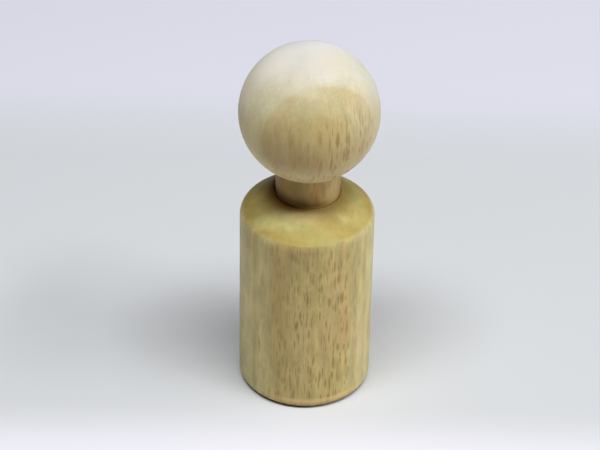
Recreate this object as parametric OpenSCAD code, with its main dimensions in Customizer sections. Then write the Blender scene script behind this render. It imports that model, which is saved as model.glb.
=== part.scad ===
// Peg doll in unfinished beech: a ball head on a dowel neck, glued into a
// turned body with a coned shoulder. Millimetres, +Z up, and the origin is
// the centre of the flat base.

/* [Body] */
// Diameter of the body, which is the peg that stands in a hole
body_d = 21; // [17:0.1:26]
// Height from the base to where the shoulder meets the neck
body_h = 36; // [28:0.1:46]
// Slope of the coned shoulder, in degrees above level
shoulder_slope = 37; // [20:1:50]
// Radius that rounds the rim between the shoulder and the side
rim_round = 2; // [0.5:0.1:3]
// Radius that rounds the edge of the foot
foot_round = 1.2; // [0.3:0.1:2]

/* [Neck] */
// Diameter of the dowel that is the neck
neck_d = 10; // [8:0.1:12]
// Length of dowel that shows between the shoulder and the head
neck_show = 4.4; // [3:0.1:7]
// Width of the bevel on each end of the dowel
dowel_bevel = 0.8; // [0.4:0.1:1.2]

/* [Head] */
// Diameter of the ball head
head_d = 21.6; // [17:0.1:26]

/* [Glued holes] */
// Depth of the hole in the body, below where the shoulder meets the neck
body_bore_depth = 12; // [8:0.5:16]
// Depth of the hole in the head, above where the ball meets the neck
head_bore_depth = 9.5; // [7:0.5:12]
// Glue line between the dowel and the wall of either hole, on the radius
glue_line = 0.05; // [0.02:0.01:0.1]
// Width of the countersink at the mouth of the hole in the body
mouth_bevel = 0.8; // [0.3:0.1:1]
// Width of the pit that the drill's centre spur leaves in a hole's floor
spur_d = 2.4; // [1.5:0.1:3]
// Depth of that pit
spur_depth = 1.2; // [0.8:0.1:1.6]

/* [Hidden] */

// Length that a cutting shape runs past the face that it cuts
overrun = 1;
// A smooth circle
$fn = 160;

body_colour = [0.78, 0.68, 0.47];
dowel_colour = [0.74, 0.64, 0.46];
head_colour = [0.87, 0.80, 0.66];

body_r = body_d / 2;
neck_r = neck_d / 2;
head_r = head_d / 2;
bore_r = neck_r + glue_line;

// The shoulder's cone, where its line crosses the side and the neck
shoulder_rise = (body_r - neck_r) * tan(shoulder_slope);
rim_corner_z = body_h - shoulder_rise;

// The rim's round turns from the side to the cone, and meets both this far
// from their corner
rim_turn = 90 - shoulder_slope;
rim_tangent = rim_round * tan(rim_turn / 2);
rim_centre = [body_r - rim_round, rim_corner_z - rim_tangent];

// The foot's round turns from the base to the side
foot_centre = [body_r - foot_round, foot_round];

// The ball sits as deep on the dowel as its surface is wide there
ball_drop = sqrt(pow(head_r, 2) - pow(neck_r, 2));
head_z = body_h + neck_show + ball_drop;

// The dowel stands on the floor of one hole and stops at that of the other
dowel_foot_z = body_h - body_bore_depth;
dowel_top_z = body_h + neck_show + head_bore_depth;

// The pit that the drill's centre spur leaves, with its tip below z = 0
module spur_pit() {
    translate([0, 0, -spur_depth])
        cylinder(d1 = 0, d2 = spur_d * (spur_depth + overrun) / spur_depth, h = spur_depth + overrun);
}

// Half of the body's outline: straight lines, with a circle let into the foot
// and one into the rim
module body_outline() {
    polygon([
        [0, 0],
        [foot_centre.x, 0],
        foot_centre,
        [body_r, foot_centre.y],
        [body_r, rim_centre.y],
        rim_centre,
        rim_centre + rim_round * [cos(rim_turn), sin(rim_turn)],
        [neck_r, body_h],
        [0, body_h]
    ]);
    translate(foot_centre)
        circle(r = foot_round);
    translate(rim_centre)
        circle(r = rim_round);
}

// The hole for the neck: straight wall, countersunk mouth, spur pit
module body_bore() {
    translate([0, 0, dowel_foot_z])
        cylinder(r = bore_r, h = body_bore_depth + overrun);
    translate([0, 0, body_h - mouth_bevel])
        cylinder(r1 = bore_r, r2 = bore_r + mouth_bevel + overrun, h = mouth_bevel + overrun);
    translate([0, 0, dowel_foot_z])
        spur_pit();
}

module body() {
    color(body_colour)
        difference() {
            rotate_extrude()
                body_outline();
            body_bore();
        }
}

module neck_dowel() {
    dowel_length = dowel_top_z - dowel_foot_z;
    color(dowel_colour)
        translate([0, 0, dowel_foot_z])
            rotate_extrude()
                polygon([
                    [0, 0],
                    [neck_r - dowel_bevel, 0],
                    [neck_r, dowel_bevel],
                    [neck_r, dowel_length - dowel_bevel],
                    [neck_r - dowel_bevel, dowel_length],
                    [0, dowel_length]
                ]);
}

module head() {
    color(head_colour)
        difference() {
            translate([0, 0, head_z])
                sphere(r = head_r);
            translate([0, 0, head_z - head_r - overrun])
                cylinder(r = bore_r, h = dowel_top_z - head_z + head_r + overrun);
            translate([0, 0, dowel_top_z])
                mirror([0, 0, 1])
                    spur_pit();
        }
}

body();
neck_dowel();
head();
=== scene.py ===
"""Looks for the peg doll: three turned pieces of bare beech on a pale floor, under soft studio light."""

import math
from types import SimpleNamespace

import bpy
from mathutils import Matrix, Vector


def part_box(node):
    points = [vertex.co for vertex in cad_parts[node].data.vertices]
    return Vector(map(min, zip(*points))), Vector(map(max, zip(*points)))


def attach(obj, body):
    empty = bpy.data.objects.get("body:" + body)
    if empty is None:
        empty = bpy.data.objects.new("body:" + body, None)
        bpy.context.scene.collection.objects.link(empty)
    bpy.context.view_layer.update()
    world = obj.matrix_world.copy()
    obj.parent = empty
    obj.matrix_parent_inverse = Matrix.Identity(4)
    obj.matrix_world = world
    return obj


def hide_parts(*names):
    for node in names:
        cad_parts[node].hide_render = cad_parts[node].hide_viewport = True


MM = 0.001

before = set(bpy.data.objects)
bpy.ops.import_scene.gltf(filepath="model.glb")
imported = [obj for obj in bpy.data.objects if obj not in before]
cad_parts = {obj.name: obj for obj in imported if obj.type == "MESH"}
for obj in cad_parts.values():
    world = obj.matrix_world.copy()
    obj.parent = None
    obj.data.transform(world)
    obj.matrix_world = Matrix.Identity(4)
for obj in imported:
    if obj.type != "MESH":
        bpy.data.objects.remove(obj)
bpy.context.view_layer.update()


# Sizes

def size_of(cad_node):
    low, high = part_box(cad_node)
    return high - low


BODY_R = size_of("body").x / 2
NECK_R = size_of("neck_dowel").x / 2
HEAD_R = size_of("head").x / 2
HEAD_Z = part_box("head")[1].z - HEAD_R
DOWEL_FOOT_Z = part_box("neck_dowel")[0].z
DOWEL_TOP_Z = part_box("neck_dowel")[1].z

BODY_H = 36 * MM
SHOULDER_SLOPE = math.radians(37)
RIM_ROUND = 2 * MM
FOOT_ROUND = 1.2 * MM
DOWEL_BEVEL = 0.8 * MM
GLUE_LINE = 0.05 * MM
BORE_R = NECK_R + GLUE_LINE
MOUTH_BEVEL = 0.8 * MM
LIP_ROUND = 0.075 * MM
SPUR_R = 1.2 * MM
SPUR_DEPTH = 1.2 * MM

# The longest step along an outline, the fewest steps in an arc, the sides of a turned mesh, and the angle
# that shades as an edge
STEP = 0.35 * MM
ARC_STEPS = 3
SEGMENTS = 192
EDGE_ANGLE = math.radians(40)


def add_object(name, data):
    made = bpy.data.objects.new(name, data)
    bpy.context.scene.collection.objects.link(made)
    return made


# Camera, fitted to the outline in the photograph

CAMERA_AT = Vector((0, -313.0, 258.7)) * MM
CAMERA_PAN = math.radians(-0.20)
CAMERA_TILT = math.radians(36.31)
CAMERA_ROLL = math.radians(1.12)
IMAGE_WIDTH = 600
FOCAL_PIXELS = 2488
SENSOR_WIDTH = 36
CAMERA_CLIP = (0.01, 20)


def make_camera():
    data = bpy.data.cameras.new("camera")
    data.sensor_width = SENSOR_WIDTH
    data.lens = FOCAL_PIXELS / IMAGE_WIDTH * SENSOR_WIDTH
    data.clip_start, data.clip_end = CAMERA_CLIP
    forward = Vector((
        math.sin(CAMERA_PAN) * math.cos(CAMERA_TILT),
        math.cos(CAMERA_PAN) * math.cos(CAMERA_TILT),
        -math.sin(CAMERA_TILT),
    ))
    level_right = Vector((math.cos(CAMERA_PAN), -math.sin(CAMERA_PAN), 0))
    level_up = level_right.cross(forward)
    right = level_right * math.cos(CAMERA_ROLL) + level_up * math.sin(CAMERA_ROLL)
    up = level_up * math.cos(CAMERA_ROLL) - level_right * math.sin(CAMERA_ROLL)
    turn = Matrix((right, up, -forward)).transposed()
    camera = add_object("camera", data)
    camera.matrix_world = Matrix.Translation(CAMERA_AT) @ turn.to_4x4()
    bpy.context.scene.camera = camera


# Shader nodes

# Where a colour mix has its share and its two colours, and its result
MIX_INPUTS = (0, 6, 7)
MIX_OUTPUT = 2
# Noise is from 0 to 1, and mostly within this span around its middle
NOISE_MIDDLE = 0.5
NOISE_SPAN = (0.3, 0.7)


def node(tree, kind, settings=None, **inputs):
    """A shader node with its settings, and its inputs by name: a socket is linked, a value is set."""
    made = tree.nodes.new("ShaderNode" + kind)
    for key, value in (settings or {}).items():
        setattr(made, key, value)
    for key, value in inputs.items():
        connect(tree, made.inputs[key.replace("_", " ")], value)
    return made


def connect(tree, socket, value):
    if isinstance(value, bpy.types.NodeSocket):
        tree.links.new(value, socket)
    else:
        socket.default_value = value


def calc(tree, operation, *values):
    made = tree.nodes.new("ShaderNodeMath")
    made.operation = operation
    for socket, value in zip(made.inputs, values):
        connect(tree, socket, value)
    return made.outputs[0]


def vector_calc(tree, operation, *values):
    made = tree.nodes.new("ShaderNodeVectorMath")
    made.operation = operation
    for socket, value in zip(made.inputs, values):
        connect(tree, socket, value)
    return made.outputs["Value" if operation in ("LENGTH", "DOT_PRODUCT") else "Vector"]


def product(tree, value, *others):
    for other in others:
        value = calc(tree, "MULTIPLY", value, other)
    return value


def ramp(tree, value, low, high, start=0.0, end=1.0):
    """A smooth step of the value, from start at low to end at high. Low may be the larger."""
    made = node(tree, "MapRange", {"interpolation_type": "SMOOTHSTEP"}, Value=value, From_Min=low,
                From_Max=high, To_Min=start, To_Max=end)
    return made.outputs["Result"]


def combine(tree, x, y, z):
    return node(tree, "CombineXYZ", X=x, Y=y, Z=z).outputs[0]


def mix(tree, share, a, b, way="MIX"):
    made = tree.nodes.new("ShaderNodeMix")
    made.data_type, made.blend_type = "RGBA", way
    made.clamp_factor = True
    for index, value in zip(MIX_INPUTS, (share, a, b)):
        connect(tree, made.inputs[index], value)
    return made.outputs[MIX_OUTPUT]


def mix_shader(tree, share, a, b):
    made = node(tree, "MixShader")
    for socket, value in zip(made.inputs, (share, a, b)):
        connect(tree, socket, value)
    return made.outputs[0]


def noise_at(tree, place, cells, detail=2.0, roughness=0.5):
    """Noise from 0 to 1, with that many cells in a unit of place along X, Y and Z."""
    scaled = vector_calc(tree, "MULTIPLY", place, cells)
    made = node(tree, "TexNoise", Vector=scaled, Scale=1.0, Detail=detail, Roughness=roughness)
    return made.outputs["Fac"]


def drifted(tree, near, cells, most, place):
    """The place moved by up to half of most each way, by noise at near."""
    scaled = vector_calc(tree, "MULTIPLY", near, cells)
    drift = node(tree, "TexNoise", Vector=scaled, Scale=1.0, Detail=2.0).outputs["Color"]
    centred = vector_calc(tree, "SUBTRACT", drift, (NOISE_MIDDLE,) * 3)
    return vector_calc(tree, "MULTIPLY_ADD", centred, most, place)


def shaded(tree, colour, tone, share, low, high):
    """The colour times low to high, as noise rises over its span, by as much as the share lets it."""
    swing = calc(tree, "SUBTRACT", tone, NOISE_MIDDLE)
    tone = calc(tree, "MULTIPLY_ADD", swing, share, NOISE_MIDDLE)
    level = ramp(tree, tone, *NOISE_SPAN, low, high)
    return mix(tree, 1.0, colour, combine(tree, level, level, level), "MULTIPLY")


# Beech

def srgb(red, green, blue):
    """A colour written as it shows, in 0 to 255, in Blender's linear values."""
    def linear(value):
        share = value / 255
        return share / 12.92 if share <= 0.04045 else ((share + 0.055) / 1.055) ** 2.4
    return (linear(red), linear(green), linear(blue), 1.0)


BEECH = {
    # Azimuth of the flat-sawn face, in degrees from the front towards +X
    "face": 6.0,
    # Distance from the axis to the pith, in front of that face, and the rings, in millimetres
    "pith": 60.0,
    "ring": 3.3,
    "first_ring": 51.7,
    # How softly the first ring gives way to the next, as a share of a ring
    "blend": 0.2,
    # Which part of the tree: another number gives another pattern
    "seed": 0.0,
    # Colours of the first ring, of the rest, of late wood and its most, and of the two casts
    "front": srgb(198, 179, 114),
    "back": srgb(203, 190, 131),
    "late": srgb(182, 138, 80),
    "late_most": 0.35,
    "pink": srgb(199, 174, 118),
    "green": srgb(191, 185, 124),
    # Colours of end grain, and how far up or down the surface faces where it begins and where it is full
    "end": srgb(196, 188, 116),
    "end_warm": srgb(208, 184, 112),
    "end_span": (0.46, 0.79),
    # What share of the end grain's colour shows where it faces down, and on the first ring
    "under": 1.0,
    "end_on_first": 1.0,
    # What share of the first ring's colour hides the next ring where the surface faces sideways or down
    "hidden": 0.0,
    # How dark and how light the soft mottles are, as shares of the colour
    "mottled": (0.88, 1.1),
    # Colour and strength of the ray flecks, and what share of it they have outside the first ring
    "ray": srgb(146, 116, 62),
    "flecks": 0.82,
    "back_rays": 0.55,
    # Over which places across the face they come in, in millimetres, and with what share at the first
    "fleck_side": (-10.0, -2.0, 0.8),
    # Roughness along the grain and across it, and the specular level
    "rough": 0.42,
    "end_rough": 0.62,
    "shine": 0.2,
}

# Cells of noise in a millimetre: across, inwards and up for a turned place, and round the rings, up and
# outwards for a grown one
TURNED_DRIFT = (0.10, 0.10, 0.03)
TURNED_FIBRES = (2.6, 2.6, 0.12)
TURNED_PATCHES = (0.28, 0.28, 0.28)
GROWN_BANDS = (0.45, 0.03, 0.5)
GROWN_CASTS = (0.22, 0.03, 0.22)
GROWN_FLECK_SHARE = (0.3, 0.12, 0.3)
GROWN_MOTTLES = (0.85, 0.26, 0.5)
# How far the rings wander, and how far up the tree each seed is from the last, in millimetres
RING_DRIFT = (1.6, 1.6, 0.0)
SEED_RISE = 40
# Keeps the count of rings above zero
RINGS_BEFORE = 100.0

# The spans from here on are a ramp's two ends, and then its shares there if they aren't 0 and 1.
# Places in a ring, as shares of it, where late wood sets in and where it stops
LATE_RISE = (0.6, 0.94)
LATE_STOP = (0.96, 1.0, 1.0, 0.0)
# By how far the surface faces up: where the first ring stops hiding the next, and where the underside ends
HIDDEN_SPAN = (-0.1, 0.5)
UNDER_SPAN = (-0.2, 0.2)
# How much of the side's figure end grain hides
END_HIDES = 0.8
# By noise: the pink and the green cast, and the warm patches of end grain
PINK_SPAN = (0.5, 0.68, 0.0, 0.65)
GREEN_SPAN = (0.5, 0.32, 0.0, 0.5)
WARM_SPAN = (0.35, 0.65)
# How much of a ring's own tone shows, and how dark and light the fibres and the bands are
RING_TONE = 0.3
FIBRE_TONES = (0.93, 1.06)
BAND_TONES = (0.93, 1.05)

# Ray flecks, bold to fine: width, height and depth of a cell in millimetres, what share of the cells holds
# a fleck, and the fleck's strength
RAYS = (
    ((1.3, 4.4, 7.0), 0.95, 0.85),
    ((0.75, 3.0, 5.0), 0.95, 0.75),
    ((0.36, 1.4, 4.0), 0.7, 0.3),
)
# The least and the most of half a fleck's width and length, as shares of its cell
RAY_HALF_WIDTH = (0.16, 0.36)
RAY_HALF_LENGTH = (0.25, 0.5)
# How much sooner a fleck ends inwards than upwards, how its outline fades, and how softly cells are chosen
RAY_NARROWING = 1.6
RAY_EDGE = (0.25, 1.2, 1.0, 0.0)
RAY_CHOICE = 0.03
# How strongly flecks show: by noise, by how far the surface faces up, and by how quarter-sawn it is
FLECKS_BY_NOISE = (0.3, 0.55, 0.5, 1.0)
FLECKS_BY_UP = (0.75, 0.15, 0.1, 1.0)
FLECKS_BY_SAWING = (0.62, 0.9, 1.0, 0.2)
# Pores: the sizes of a cell in millimetres, how their outline fades, and their strength
PORE_CELL = (0.16, 0.16, 1.4)
PORE_EDGE = (0.16, 0.3, 1.0, 0.0)
PORE_STRENGTH = 0.15

# Roughness that the fibres add, by noise, and the relief's depth, strength and shares
FIBRE_ROUGHNESS = (0.3, 0.7, -0.03, 0.05)
RELIEF_DEPTH = 0.03 * MM
RELIEF_STRENGTH = 0.35
FIBRE_RELIEF = 0.6
PORE_RELIEF = -0.5
FLECK_RELIEF = 0.25


def millimetres(tree):
    place = node(tree, "TexCoord").outputs["Object"]
    return vector_calc(tree, "MULTIPLY", place, (1 / MM, 1 / MM, 1 / MM))


def normal(tree):
    return node(tree, "TexCoord").outputs["Normal"]


def wood_places(tree, look):
    """Places in millimetres, turned so that the flat-sawn face is at -Y, and grown: round the rings, up
    and out from the pith. The third value is that distance from the pith."""
    turned = node(tree, "Mapping", {"vector_type": "POINT"}, Vector=millimetres(tree),
                  Rotation=(0.0, 0.0, -math.radians(look["face"]))).outputs[0]
    rise = look["seed"] * SEED_RISE
    seeded = vector_calc(tree, "ADD", turned, (0.0, 0.0, rise))
    wandering = drifted(tree, seeded, TURNED_DRIFT, RING_DRIFT, turned)
    parts = node(tree, "SeparateXYZ", Vector=wandering)
    depth = calc(tree, "ADD", look["pith"], parts.outputs["Y"])
    radius = vector_calc(tree, "LENGTH", combine(tree, parts.outputs["X"], depth, 0.0))
    tangent = product(tree, calc(tree, "ARCTAN2", parts.outputs["X"], depth), look["pith"])
    height = calc(tree, "ADD", parts.outputs["Z"], rise)
    return seeded, combine(tree, tangent, height, radius), radius


def ring_shares(tree, look, radius):
    """Shares from 0 to 1: the first ring, late wood at each ring's outer edge, and each ring's tone."""
    count = calc(tree, "DIVIDE", calc(tree, "SUBTRACT", radius, look["first_ring"]), look["ring"])
    first = ramp(tree, count, -look["blend"], look["blend"], 1.0, 0.0)
    inside = calc(tree, "FRACT", calc(tree, "ADD", count, RINGS_BEFORE))
    late = product(tree, ramp(tree, inside, *LATE_RISE), ramp(tree, inside, *LATE_STOP))
    whole = calc(tree, "ADD", calc(tree, "FLOOR", count), look["seed"])
    tone = node(tree, "TexWhiteNoise", {"noise_dimensions": "1D"}, W=whole).outputs["Value"]
    return first, late, tone


def in_cells(tree, place, cell):
    width, height, depth = cell
    return vector_calc(tree, "MULTIPLY", place, (1 / width, 1 / height, 1 / depth))


def rays(tree, grown, cell, presence):
    """Lens-shaped flecks, pointed along the grain: 1 inside a fleck and 0 outside it."""
    place = in_cells(tree, grown, cell)
    cells = node(tree, "TexVoronoi", Vector=place, Scale=1.0, Randomness=1.0)
    off = vector_calc(tree, "SUBTRACT", place, cells.outputs["Position"])
    off = node(tree, "SeparateXYZ", Vector=off)
    chance = node(tree, "SeparateXYZ", Vector=cells.outputs["Color"])
    half_width = ramp(tree, chance.outputs["Y"], 0.0, 1.0, *RAY_HALF_WIDTH)
    half_length = ramp(tree, chance.outputs["Z"], 0.0, 1.0, *RAY_HALF_LENGTH)
    across = calc(tree, "DIVIDE", calc(tree, "ABSOLUTE", off.outputs["X"]), half_width)
    along = calc(tree, "POWER", calc(tree, "DIVIDE", off.outputs["Y"], half_length), 2.0)
    inwards = calc(tree, "POWER", product(tree, off.outputs["Z"], RAY_NARROWING), 2.0)
    reach = calc(tree, "ADD", calc(tree, "ADD", across, along), inwards)
    held = ramp(tree, chance.outputs["X"], 1.0 - RAY_CHOICE - presence, 1.0 - presence)
    return product(tree, ramp(tree, reach, *RAY_EDGE), held)


def pores(tree, turned):
    """Vessels seen as fine short dashes on the side and as dots on end grain: 1 inside a vessel."""
    cells = node(tree, "TexVoronoi", Vector=in_cells(tree, turned, PORE_CELL), Scale=1.0, Randomness=1.0)
    return ramp(tree, cells.outputs["Distance"], *PORE_EDGE)


def quarter_sawn(tree, look):
    """How squarely the surface faces along the growth rings, where the rays lie flat in it."""
    face = math.radians(look["face"])
    along = vector_calc(tree, "DOT_PRODUCT", normal(tree), (math.cos(face), math.sin(face), 0.0))
    return calc(tree, "ABSOLUTE", along)


def wood_at(tree, look):
    """The sockets that a beech is made from: places in the tree, rings, and how the surface cuts them."""
    wood = SimpleNamespace()
    wood.turned, wood.grown, radius = wood_places(tree, look)
    wood.first, wood.late, wood.tone = ring_shares(tree, look, radius)
    wood.up = node(tree, "SeparateXYZ", Vector=normal(tree)).outputs["Z"]
    wood.end = ramp(tree, calc(tree, "ABSOLUTE", wood.up), *look["end_span"])
    wood.side = calc(tree, "SUBTRACT", 1.0, product(tree, wood.end, END_HIDES))
    hidden = ramp(tree, wood.up, *HIDDEN_SPAN, look["hidden"], 0.0)
    wood.first_shown = calc(tree, "MAXIMUM", wood.first, hidden)
    wood.fibres = noise_at(tree, wood.turned, TURNED_FIBRES, detail=3.0, roughness=0.6)
    wood.vessels = product(tree, pores(tree, wood.turned), wood.side)
    return wood


def fleck_share(tree, look, wood):
    """How strongly flecks show: most on the face, and less on end grain, the sides and further rings."""
    thick = noise_at(tree, wood.grown, GROWN_FLECK_SHARE)
    tangent = node(tree, "SeparateXYZ", Vector=wood.grown).outputs["X"]
    return product(
        tree, wood.side,
        ramp(tree, wood.first_shown, 0.0, 1.0, look["back_rays"], 1.0),
        ramp(tree, thick, *FLECKS_BY_NOISE),
        ramp(tree, tangent, *look["fleck_side"]),
        ramp(tree, wood.up, *FLECKS_BY_UP),
        ramp(tree, quarter_sawn(tree, look), *FLECKS_BY_SAWING))


def plain_colour(tree, look, wood):
    """The wood's tones, ring by ring, with its pink and green casts, late wood and end grain."""
    cast = noise_at(tree, wood.grown, GROWN_CASTS)
    patches = noise_at(tree, wood.turned, TURNED_PATCHES)
    colour = mix(tree, wood.first_shown, look["back"], look["front"])
    colour = mix(tree, product(tree, wood.tone, RING_TONE), colour, look["front"])
    colour = mix(tree, ramp(tree, cast, *PINK_SPAN), colour, look["pink"])
    colour = mix(tree, ramp(tree, cast, *GREEN_SPAN), colour, look["green"])
    lateness = ramp(tree, wood.tone, 0.0, 1.0, look["late_most"] / 3, look["late_most"])
    colour = mix(tree, product(tree, wood.late, wood.side, lateness), colour, look["late"])
    end_colour = mix(tree, ramp(tree, patches, *WARM_SPAN), look["end"], look["end_warm"])
    cut = product(tree, wood.end, ramp(tree, wood.up, *UNDER_SPAN, look["under"], 1.0),
                  ramp(tree, wood.first, 0.0, 1.0, 1.0, look["end_on_first"]))
    return mix(tree, cut, colour, end_colour)


def figured(tree, look, wood, colour, flecks):
    """The colour with fibres, bands, mottles, ray flecks and pores in it."""
    bands = noise_at(tree, wood.grown, GROWN_BANDS)
    mottles = noise_at(tree, wood.grown, GROWN_MOTTLES)
    colour = shaded(tree, colour, wood.fibres, wood.side, *FIBRE_TONES)
    colour = shaded(tree, colour, bands, wood.side, *BAND_TONES)
    colour = shaded(tree, colour, mottles, wood.side, *look["mottled"])
    for fleck, (_, _, strength) in zip(flecks, RAYS):
        colour = mix(tree, product(tree, fleck, look["flecks"] * strength), colour, look["ray"])
    return mix(tree, product(tree, wood.vessels, PORE_STRENGTH), colour, look["ray"])


def finish_surface(tree, look, wood, bold, shader):
    """Roughness with the grain, and a slight relief of fibres, pores and bold flecks."""
    rough = calc(tree, "ADD", ramp(tree, wood.end, 0.0, 1.0, look["rough"], look["end_rough"]),
                 ramp(tree, wood.fibres, *FIBRE_ROUGHNESS))
    connect(tree, shader.inputs["Roughness"], rough)
    shader.inputs["Specular IOR Level"].default_value = look["shine"]
    fibres = product(tree, wood.fibres, FIBRE_RELIEF)
    height = calc(tree, "ADD", fibres, product(tree, wood.vessels, PORE_RELIEF))
    height = calc(tree, "ADD", height, product(tree, bold, FLECK_RELIEF))
    bump = node(tree, "Bump", Height=height, Strength=RELIEF_STRENGTH, Distance=RELIEF_DEPTH)
    connect(tree, shader.inputs["Normal"], bump.outputs["Normal"])


def beech(name, marks, **changes):
    """A beech with its own changes of look. The function marks lays stains, painted light and painted
    shade over its colour, and gets the share of end grain too."""
    look = {**BEECH, **changes}
    material = bpy.data.materials.new(name)
    material.use_nodes = True
    tree = material.node_tree
    shader = tree.nodes["Principled BSDF"]
    wood = wood_at(tree, look)
    shown = fleck_share(tree, look, wood)
    flecks = [product(tree, rays(tree, wood.grown, cell, presence), shown)
              for cell, presence, _ in RAYS]
    colour = figured(tree, look, wood, plain_colour(tree, look, wood), flecks)
    connect(tree, shader.inputs["Base Color"], marks(tree, colour, wood.end))
    finish_surface(tree, look, wood, flecks[0], shader)
    return material


# Uneven tones, painted light and painted shade

def blot(middle, half, tint, strength, turn=0):
    """A soft patch: its middle and half sizes in millimetres and its turn in degrees."""
    turn = math.radians(turn)
    return SimpleNamespace(middle=middle, half=half, tint=tint, strength=strength, turn=turn)


# Tall enough to cross the whole shoulder
TALL = 20
# Patches on the shoulder: partly wood tones, partly painted light in front of the neck and at the right
# rim, and painted shade of the head beside and behind the neck
SHOULDER_TONES_LIGHT_AND_SHADE = (
    blot((-3.7, -6.3, 33), (5.0, 1.5, TALL), srgb(218, 210, 138), 0.85, turn=-16),
    blot((4.3, -6.8, 33), (2.6, 1.0, TALL), srgb(184, 161, 90), 0.6, turn=8),
    blot((8.0, -3.6, 33), (2.4, 1.3, TALL), srgb(208, 200, 130), 0.45, turn=62),
    blot((-0.6, -6.4, 33), (2.6, 1.0, TALL), srgb(240, 210, 148), 0.5),
    blot((0.4, -8.3, 33), (2.6, 0.8, TALL), srgb(164, 154, 84), 0.35),
    blot((5.4, -5.2, 33), (1.1, 1.0, TALL), srgb(228, 212, 140), 0.5),
    blot((3.2, -9.1, 33), (3.0, 0.8, TALL), srgb(184, 186, 120), 0.4, turn=16),
    blot((6.9, 0.6, 33), (1.0, 1.8, TALL), srgb(146, 130, 74), 0.3),
    blot((7.0, 3.4, 33), (1.5, 2.6, TALL), srgb(140, 120, 60), 0.35),
    blot((-6.6, 2.8, 33), (2.0, 2.8, TALL), srgb(96, 88, 26), 0.4),
)
# Patches on the side: partly wood tones, partly painted shade below the front of the rim and on the left
# of the front
SIDE_TONES_AND_SHADE = (
    blot((-0.4, -10.3, 31.6), (4.4, 2.0, 1.6), srgb(146, 122, 70), 0.38),
    blot((-4.3, -9.6, 19), (2.4, 3.0, 17), srgb(170, 148, 88), 0.5),
    blot((-1.9, -10.3, 28.4), (3.4, 2.0, 2.6), srgb(156, 136, 82), 0.35),
    blot((-8.4, -6.2, 30), (3.0, 3.6, 3.2), srgb(150, 130, 68), 0.3),
    blot((6.6, -8.3, 15), (1.6, 2.0, 4.0), srgb(204, 158, 108), 0.3),
    blot((7.4, -7.4, 26), (1.5, 2.0, 7.0), srgb(172, 152, 94), 0.45),
    blot((8.8, -5.8, 9), (1.8, 2.2, 8.0), srgb(226, 204, 150), 0.4),
)
# Painted light at the crown and the upper sides of the head, standing in for light from above and behind,
# and painted shade low on the face
HEAD_LIGHT_AND_SHADE = (
    blot((-8.4, -6.0, 49), (3.4, 4.4, 6.0), srgb(200, 184, 134), 0.5),
    blot((-3.4, -9.4, 49), (5.0, 4.0, 5.0), srgb(152, 116, 36), 0.48),
    blot((2.5, -10.0, 48), (5.0, 3.0, 3.2), srgb(168, 129, 50), 0.45),
    blot((2.4, -10.0, 53), (4.4, 3.0, 3.4), srgb(176, 144, 72), 0.4),
    blot((2.0, -8.2, 56.8), (6.5, 2.8, 2.0), srgb(208, 200, 164), 0.25),
    blot((-1.0, 4.6, 59), (9.4, 5.6, 6.0), srgb(236, 235, 234), 0.75),
    blot((-8.6, -1.0, 56), (3.4, 5.0, 4.6), srgb(234, 228, 206), 0.55),
    blot((-6.6, -0.4, 59), (4.4, 5.0, 3.2), srgb(246, 242, 230), 0.6),
    blot((4.6, -1.5, 59.6), (3.6, 3.6, 2.5), srgb(216, 208, 186), 0.45),
    blot((-1.4, -6.8, 58.2), (3.4, 1.5, 1.3), srgb(224, 216, 186), 0.5),
    blot((-5.6, -7.4, 56.8), (2.4, 3.0, 2.2), srgb(226, 218, 186), 0.35),
    blot((8.4, 0.0, 56), (3.4, 5.0, 4.6), srgb(220, 220, 210), 0.55),
    blot((9.6, -4.6, 51.5), (3.0, 4.0, 5.6), srgb(204, 192, 152), 0.45),
    blot((7.2, -7.2, 48.6), (2.0, 2.4, 4.6), srgb(168, 142, 84), 0.35),
    blot((3.4, -8.6, 44.8), (3.6, 3.0, 2.2), srgb(168, 142, 88), 0.35),
)
# Cells in a millimetre of the noise that makes their outlines uneven, and twice its reach in millimetres
BLOT_CELLS = (0.45, 0.45, 0.45)
BLOT_DRIFT = (1.4, 1.4, 1.4)
# Where a patch begins and where it is full, in units of its half sizes
BLOT_EDGE = (1.4, 0.3)
# The share of end grain where the side's patches begin and where they are full
SIDE_SPAN = (0.5, 0.0)


def blots(tree, colour, share, patches):
    """The colour with soft uneven patches laid over it: other wood tones, painted light and painted shade.
    """
    place = millimetres(tree)
    place = drifted(tree, place, BLOT_CELLS, BLOT_DRIFT, place)
    for patch in patches:
        near = node(tree, "Mapping", {"vector_type": "TEXTURE"}, Vector=place, Location=patch.middle,
                    Rotation=(0.0, 0.0, patch.turn), Scale=patch.half).outputs[0]
        inside = ramp(tree, vector_calc(tree, "LENGTH", near), *BLOT_EDGE, 0.0, patch.strength)
        colour = mix(tree, product(tree, inside, share), colour, patch.tint)
    return colour


def on_doll(tree):
    """Reach from the axis and height above the base in millimetres, the direction outwards and its X."""
    parts = node(tree, "SeparateXYZ", Vector=node(tree, "TexCoord").outputs["Object"])
    flat = combine(tree, parts.outputs["X"], parts.outputs["Y"], 0.0)
    at = SimpleNamespace()
    at.outwards = vector_calc(tree, "NORMALIZE", flat)
    at.reach = calc(tree, "DIVIDE", vector_calc(tree, "LENGTH", flat), MM)
    at.height = calc(tree, "DIVIDE", parts.outputs["Z"], MM)
    at.side = node(tree, "SeparateXYZ", Vector=at.outwards).outputs["X"]
    return at


# Stains on the body, with painted light and painted shade. Reach is from the axis and height above the
# base, in millimetres. Side is from -1 at the left to 1 at the right, seen from the front
# The ochre rim is partly the end grain's colour and partly painted shade where the rim turns away from the
# light
RIM_REACH = (7.8, 9.6)
RIM_MOST = 0.7
RIM_OCHRE = srgb(178, 154, 78)
SHOULDER_HEIGHT = (30.5, 32.0)
# Cells of noise in a millimetre, and how dark and how light cut fibres are
CUT_CELLS = (0.9, 0.9, 0.9)
CUT_TONES = (0.94, 1.06)

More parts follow.
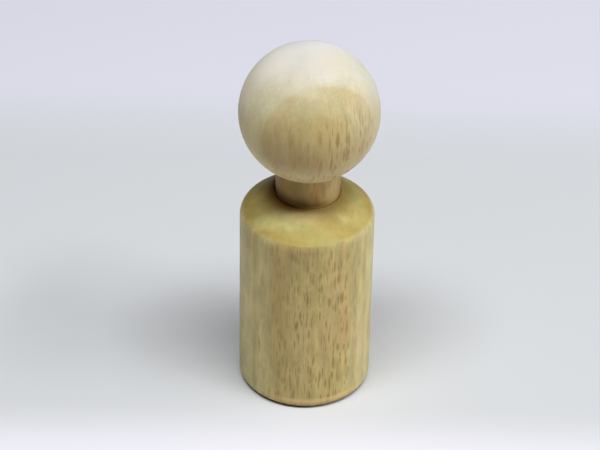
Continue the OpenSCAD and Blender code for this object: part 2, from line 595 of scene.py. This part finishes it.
# The pale band's top and bottom by height, where it is strongest, and how strong by facing that way:
# painted light of the floor's bounce
BOUNCE_TOP = (2.3, 1.7)
BOUNCE_BOTTOM = (0.8, 1.4, 0.0, 0.6)
BOUNCE_TOWARDS = (0.22, -0.97, 0.0)
BOUNCE_AHEAD = (0.7, 0.95, 0.15, 1.0)
BOUNCE_LIGHT = srgb(234, 201, 138)
# Painted shade on the foot's rounded edge, where it meets the floor
FOOT_SHADE_HEIGHT = (1.1, 0.3, 0.0, 0.5)
FOOT_SHADE = srgb(120, 100, 62)

UPPER_HEIGHT = (20.0, 30.0)
# Painted shade round the neck's foot reaches from the inner reach to the front one, and to the outer ones
# on the left and the right
SHADE_INNER = 5.4
SHADE_FRONT = 6.2
SHADE_OUTER = (0.0, 0.3, 9.0, 8.2)
SHADE_SIDEWAYS = (0.2, 0.9)
SHADE_LEFTWARDS = 0.1
SHADE_MOST = 0.65
NECK_FOOT_SHADE = srgb(130, 105, 36)
# Glue and painted shade reach from the inner reach to the outer one, which grows leftwards, as their
# strength does
GLUE_SHADE_INNER = 5.3
GLUE_SHADE_OUTER = (0.4, -0.8, 5.6, 6.9)
GLUE_SHADE_SIDE = (0.6, -0.2, 0.1, 0.92)
GLUE_AND_SHADE = srgb(126, 80, 8)
# Painted light at the bore's mouth on the right, which lifts the shade in the countersink
LIFT_REACH = (5.6, 5.4)
LIFT_SIDE = (-0.7, 0.6, 0.2, 0.9)
BORE_MOUTH_LIGHT = srgb(240, 222, 170)


def shoulder_marks(tree, colour, end, at):
    """An ochre rim, partly the end grain's colour and partly painted shade where the rim turns down,
    patches of wood tone, painted light and painted shade, and the unevenness of cut fibres.
    """
    rim = product(tree, ramp(tree, at.reach, *RIM_REACH), end, RIM_MOST)
    colour = mix(tree, rim, colour, RIM_OCHRE)
    colour = blots(tree, colour, ramp(tree, at.height, *SHOULDER_HEIGHT), SHOULDER_TONES_LIGHT_AND_SHADE)
    cut = noise_at(tree, millimetres(tree), CUT_CELLS)
    return shaded(tree, colour, cut, end, *CUT_TONES)


def foot_marks(tree, colour, at):
    """A pale band above the foot's edge, mostly at the front, which is painted light of the floor's
    bounce, and painted shade on the edge below it, where it meets the floor.
    """
    bounce_band = product(tree, ramp(tree, at.height, *BOUNCE_TOP), ramp(tree, at.height, *BOUNCE_BOTTOM))
    ahead = ramp(tree, vector_calc(tree, "DOT_PRODUCT", at.outwards, BOUNCE_TOWARDS), *BOUNCE_AHEAD)
    colour = mix(tree, product(tree, bounce_band, ahead), colour, BOUNCE_LIGHT)
    return mix(tree, ramp(tree, at.height, *FOOT_SHADE_HEIGHT), colour, FOOT_SHADE)


def neck_foot_marks(tree, colour, at):
    """Painted shade and glue around the neck's foot, most of both on the left, and painted light in the
    countersink on the right.
    """
    upper = ramp(tree, at.height, *UPPER_HEIGHT)
    sideways = calc(tree, "ABSOLUTE", calc(tree, "ADD", at.side, SHADE_LEFTWARDS))
    outer = ramp(tree, sideways, *SHADE_SIDEWAYS, SHADE_FRONT, ramp(tree, at.side, *SHADE_OUTER))
    painted_shade = ramp(tree, at.reach, outer, SHADE_INNER, 0.0, SHADE_MOST)
    colour = mix(tree, product(tree, painted_shade, upper), colour, NECK_FOOT_SHADE)
    glue_and_shade = ramp(tree, at.reach, ramp(tree, at.side, *GLUE_SHADE_OUTER), GLUE_SHADE_INNER)
    glue_and_shade = product(tree, glue_and_shade, ramp(tree, at.side, *GLUE_SHADE_SIDE), upper)
    colour = mix(tree, glue_and_shade, colour, GLUE_AND_SHADE)
    lifted = product(tree, ramp(tree, at.reach, *LIFT_REACH), ramp(tree, at.side, *LIFT_SIDE), upper)
    return mix(tree, lifted, colour, BORE_MOUTH_LIGHT)


def body_marks(tree, colour, end):
    at = on_doll(tree)
    colour = shoulder_marks(tree, colour, end, at)
    colour = blots(tree, colour, ramp(tree, end, *SIDE_SPAN), SIDE_TONES_AND_SHADE)
    colour = foot_marks(tree, colour, at)
    return neck_foot_marks(tree, colour, at)


# Painted light and shade on the dowel, and a browner right edge, by the same reach, height and side
NECK_LEFT = (0.35, -0.35, 0.0, 0.45)
NECK_LEFT_SHADE = srgb(120, 92, 38)
NECK_RIGHT = (0.3, 0.75, 0.0, 0.35)
NECK_RIGHT_END = (1.0, 0.85)
NECK_RIGHT_LIGHT = srgb(212, 190, 140)
NECK_EDGE = (0.85, 1.0, 0.0, 0.5)
NECK_EDGE_BROWN = srgb(150, 122, 68)
NECK_SHADE_HEIGHT = (38.2, 36.0, 0.0, 0.9)
NECK_SHADE_SIDE = (0.65, -0.2, 0.05, 1.0)
NECK_SHADE = srgb(92, 62, 12)
NECK_RING_HEIGHT = (36.8, 36.1, 0.0, 0.3)
NECK_RING_SIDE = (0.85, 0.55)
COUNTERSINK_HEIGHT = (35.9, 35.6, 0.0, 0.65)
COUNTERSINK_LIGHT = srgb(214, 176, 104)


def dowel_marks(tree, colour, end):
    """Painted shade on the left, a stripe of painted light on the right, a browner right edge, painted
    shade at the foot and painted light in the countersink.
    """
    at = on_doll(tree)
    colour = mix(tree, ramp(tree, at.side, *NECK_LEFT), colour, NECK_LEFT_SHADE)
    pale = product(tree, ramp(tree, at.side, *NECK_RIGHT), ramp(tree, at.side, *NECK_RIGHT_END))
    colour = mix(tree, pale, colour, NECK_RIGHT_LIGHT)
    colour = mix(tree, ramp(tree, at.side, *NECK_EDGE), colour, NECK_EDGE_BROWN)
    for low, aside in ((NECK_SHADE_HEIGHT, NECK_SHADE_SIDE), (NECK_RING_HEIGHT, NECK_RING_SIDE)):
        painted_shade = product(tree, ramp(tree, at.height, *low), ramp(tree, at.side, *aside))
        colour = mix(tree, painted_shade, colour, NECK_SHADE)
    return mix(tree, ramp(tree, at.height, *COUNTERSINK_HEIGHT), colour, COUNTERSINK_LIGHT)


def head_marks(tree, colour, end):
    """Painted shade low on the face, and painted light at the crown and the upper sides."""
    return blots(tree, colour, 1.0, HEAD_LIGHT_AND_SHADE)


# Turned shapes

def rounded(corners):
    """An outline in (radius, height) through the corners, each given as (radius, height, round)."""
    points = [Vector(corners[0][:2])]
    for before, corner, after in zip(corners, corners[1:], corners[2:]):
        points += arc_at(Vector(before[:2]), Vector(corner[:2]), Vector(after[:2]), corner[2])
    points.append(Vector(corners[-1][:2]))
    return points


def arc_at(before, corner, after, radius):
    """The corner itself, or points round an arc of that radius that touches both of its lines."""
    if radius == 0:
        return [corner]
    to_before = (before - corner).normalized()
    to_after = (after - corner).normalized()
    half = to_before.angle(to_after) / 2
    middle = corner + (to_before + to_after).normalized() * radius / math.sin(half)
    start = corner + to_before * radius / math.tan(half) - middle
    turn = start.angle_signed(corner + to_after * radius / math.tan(half) - middle)
    count = max(ARC_STEPS, math.ceil(abs(turn) * radius / STEP))
    return [middle + Matrix.Rotation(-turn * i / count, 2) @ start for i in range(count + 1)]


def dense(points):
    """The outline with points no more than a step apart."""
    out = [points[0]]
    for a, b in zip(points, points[1:]):
        count = max(1, math.ceil((b - a).length / STEP))
        out += [a.lerp(b, (i + 1) / count) for i in range(count)]
    return out


def turned_mesh(name, outline):
    """A closed mesh turned about Z from an outline whose ends are on the axis."""
    rings = outline[1:-1]
    verts = [(0, 0, outline[0].y), (0, 0, outline[-1].y)]
    for point in rings:
        for i in range(SEGMENTS):
            angle = math.tau * i / SEGMENTS
            verts.append((point.x * math.cos(angle), point.x * math.sin(angle), point.y))

    def at(ring, i):
        """The number of a vertex on a ring. The two ends come before the rings."""
        return 2 + ring * SEGMENTS + i % SEGMENTS

    last = len(rings) - 1
    faces = [(0, at(0, i + 1), at(0, i)) for i in range(SEGMENTS)]
    for ring in range(last):
        for i in range(SEGMENTS):
            faces.append((at(ring, i), at(ring, i + 1), at(ring + 1, i + 1), at(ring + 1, i)))
    faces += [(1, at(last, i), at(last, i + 1)) for i in range(SEGMENTS)]
    mesh = bpy.data.meshes.new(name)
    mesh.from_pydata(verts, [], faces)
    mesh.validate()
    mesh.shade_smooth()
    mesh.set_sharp_from_angle(angle=EDGE_ANGLE)
    return add_object(name, mesh)


def add_piece(piece, cad_node, material):
    piece.data.materials.append(material)
    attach(piece, "root")
    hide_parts(cad_node)


def body_outline():
    slope = math.tan(SHOULDER_SLOPE)
    rim_z = BODY_H - (BODY_R - NECK_R) * slope
    lip_r = (MOUTH_BEVEL + BORE_R + NECK_R * slope) / (1 + slope)
    lip_z = BODY_H - (lip_r - NECK_R) * slope
    return rounded([
        (0, 0, 0),
        (BODY_R, 0, FOOT_ROUND),
        (BODY_R, rim_z, RIM_ROUND),
        (lip_r, lip_z, LIP_ROUND),
        (BORE_R, lip_z - (lip_r - BORE_R), 0),
        (BORE_R, DOWEL_FOOT_Z, 0),
        (SPUR_R, DOWEL_FOOT_Z, 0),
        (0, DOWEL_FOOT_Z - SPUR_DEPTH, 0),
    ])


def dowel_outline():
    return rounded([
        (0, DOWEL_FOOT_Z, 0),
        (NECK_R - DOWEL_BEVEL, DOWEL_FOOT_Z, 0),
        (NECK_R, DOWEL_FOOT_Z + DOWEL_BEVEL, 0),
        (NECK_R, DOWEL_TOP_Z - DOWEL_BEVEL, 0),
        (NECK_R - DOWEL_BEVEL, DOWEL_TOP_Z, 0),
        (0, DOWEL_TOP_Z, 0),
    ])


def head_outline():
    mouth = math.asin(BORE_R / HEAD_R)
    count = math.ceil((math.pi - mouth) * HEAD_R / STEP)
    turns = [math.pi - mouth - (math.pi - mouth) * i / count for i in range(count + 1)]
    ball = [Vector((HEAD_R * math.sin(turn), HEAD_Z + HEAD_R * math.cos(turn))) for turn in turns]
    ball[-1] = Vector((0, HEAD_Z + HEAD_R))
    hole = rounded([
        (0, DOWEL_TOP_Z + SPUR_DEPTH, 0),
        (SPUR_R, DOWEL_TOP_Z, 0),
        (BORE_R, DOWEL_TOP_Z, 0),
        (BORE_R, ball[0].y, 0),
    ])
    return hole[:-1] + ball


DOWEL_BEECH = {
    "seed": 13.0,
    "face": 40.0,
    "first_ring": 56.0,
    # Browner than the body's beech: partly the dowel's own tone, partly painted shade under the head
    "front": srgb(182, 153, 88),
    "back": srgb(190, 164, 98),
    "pink": srgb(178, 142, 84),
    "ray": srgb(124, 94, 50),
    "flecks": 0.4,
    "shine": 0.1,
}
HEAD_BEECH = {
    "seed": 11.0,
    "face": 12.5,
    "pith": 400.0,
    "ring": 7.5,
    "first_ring": 393.7,
    "blend": 0.09,
    # Paler than the body's beech, with nearly white end grain shown mostly on top: partly the wood's own
    # tone, partly painted light and a painted highlight at the crown
    "front": srgb(202, 188, 137),
    "back": srgb(213, 205, 170),
    "pink": srgb(206, 192, 148),
    "green": srgb(202, 195, 146),
    "late_most": 0.25,
    "end": srgb(224, 221, 211),
    "end_warm": srgb(226, 219, 204),
    "end_span": (0.6, 1.0),
    "end_on_first": 0.3,
    "under": 0.25,
    "hidden": 0.9,
    "mottled": (0.95, 1.04),
    "ray": srgb(136, 104, 52),
    "flecks": 0.8,
    "back_rays": 0.08,
    "fleck_side": (-5.0, 3.0, 0.25),
}


def make_doll():
    body = turned_mesh("turned_body", dense(body_outline()))
    add_piece(body, "body", beech("beech_body", body_marks))
    dowel = turned_mesh("glued_dowel", dense(dowel_outline()))
    add_piece(dowel, "neck_dowel", beech("beech_dowel", dowel_marks, **DOWEL_BEECH))
    head = turned_mesh("ball_head", dense(head_outline()))
    add_piece(head, "head", beech("beech_head", head_marks, **HEAD_BEECH))


# Floor and light

FLOOR_HALF = 3.0
FLOOR_COLOUR = srgb(218, 221, 225)
# Where the floor turns paler in front of the doll, and behind it, as painted light: its Y in metres
FLOOR_NEAR = (-0.009, -0.024)
FLOOR_NEAR_LIGHT = srgb(244, 243, 254)
FLOOR_FAR = (0.058, 0.086)
FLOOR_FAR_LIGHT = srgb(230, 231, 244)
# How far from the doll the floor fades into the surround, in metres
FADE = (0.15, 0.6)
SURROUND_COLOUR = srgb(214, 217, 222)
# How bright the surround is to the camera, in reflections, and as a light
SEEN_SURROUND = 1.0
GLOSS_SURROUND = 0.3
LIT_SURROUND = 0.0


def make_floor():
    mesh = bpy.data.meshes.new("floor")
    corners = [(-FLOOR_HALF, -FLOOR_HALF), (FLOOR_HALF, -FLOOR_HALF), (FLOOR_HALF, FLOOR_HALF),
               (-FLOOR_HALF, FLOOR_HALF)]
    mesh.from_pydata([(x, y, 0) for x, y in corners], [], [(0, 1, 2, 3)])
    mesh.materials.append(floor_material())
    add_object("floor", mesh)


def floor_material():
    """Matte. Far from the doll the camera sees it as bright as the surround, so that it has no edge."""
    material = bpy.data.materials.new("floor")
    material.use_nodes = True
    tree = material.node_tree
    shader = tree.nodes["Principled BSDF"]
    place = node(tree, "TexCoord").outputs["Object"]
    behind = node(tree, "SeparateXYZ", Vector=place).outputs["Y"]
    colour = mix(tree, ramp(tree, behind, *FLOOR_NEAR), FLOOR_COLOUR, FLOOR_NEAR_LIGHT)
    colour = mix(tree, ramp(tree, behind, *FLOOR_FAR), colour, FLOOR_FAR_LIGHT)
    connect(tree, shader.inputs["Base Color"], colour)
    shader.inputs["Roughness"].default_value = 1.0
    shader.inputs["Specular IOR Level"].default_value = 0.0
    away = ramp(tree, vector_calc(tree, "LENGTH", place), *FADE)
    camera = node(tree, "LightPath").outputs["Is Camera Ray"]
    glow = node(tree, "Emission", Color=SURROUND_COLOUR, Strength=SEEN_SURROUND)
    faded = mix_shader(tree, product(tree, away, camera), shader.outputs[0], glow.outputs[0])
    connect(tree, tree.nodes["Material Output"].inputs["Surface"], faded)
    return material


def make_world():
    """A pale surround for the camera and a weaker one for reflections. Only the lamps light the doll."""
    world = bpy.data.worlds.new("world")
    bpy.context.scene.world = world
    world.use_nodes = True
    tree = world.node_tree
    tree.nodes.clear()
    path = node(tree, "LightPath")
    shown = surround(tree, LIT_SURROUND)
    shown = mix_shader(tree, path.outputs["Is Glossy Ray"], shown, surround(tree, GLOSS_SURROUND))
    shown = mix_shader(tree, path.outputs["Is Camera Ray"], shown, surround(tree, SEEN_SURROUND))
    node(tree, "OutputWorld", Surface=shown)


def surround(tree, strength):
    return node(tree, "Background", Color=SURROUND_COLOUR, Strength=strength).outputs[0]


# Direction as azimuth from the front towards the right and elevation, in degrees, and sizes in metres
LAMPS = {
    "ceiling": {"direction": (0, 76.5), "distance": 0.85, "size": (0.7, 0.2), "watts": 6.6},
    "high_right": {"direction": (69, 52), "distance": 1.04, "size": (0.3, 0.12), "watts": 2.2},
    "low_right": {"direction": (90, 10), "distance": 0.85, "size": (0.3, 0.3), "watts": 2.2},
}
LAMP_TARGET = Vector((0, 0, 0.03))


def make_lamp(name, direction, distance, size, watts):
    data = bpy.data.lights.new(name, "AREA")
    data.shape = "RECTANGLE"
    data.size, data.size_y = size
    data.energy = watts
    azimuth, elevation = (math.radians(value) for value in direction)
    back = Vector((
        math.sin(azimuth) * math.cos(elevation),
        -math.cos(azimuth) * math.cos(elevation),
        math.sin(elevation),
    ))
    lamp = add_object(name, data)
    lamp.location = LAMP_TARGET + back * distance
    lamp.rotation_euler = back.to_track_quat("Z", "Y").to_euler()


make_camera()
make_doll()
make_floor()
make_world()
for lamp_name, settings in LAMPS.items():
    make_lamp(lamp_name, **settings)

bpy.context.scene.view_settings.view_transform = "Standard"
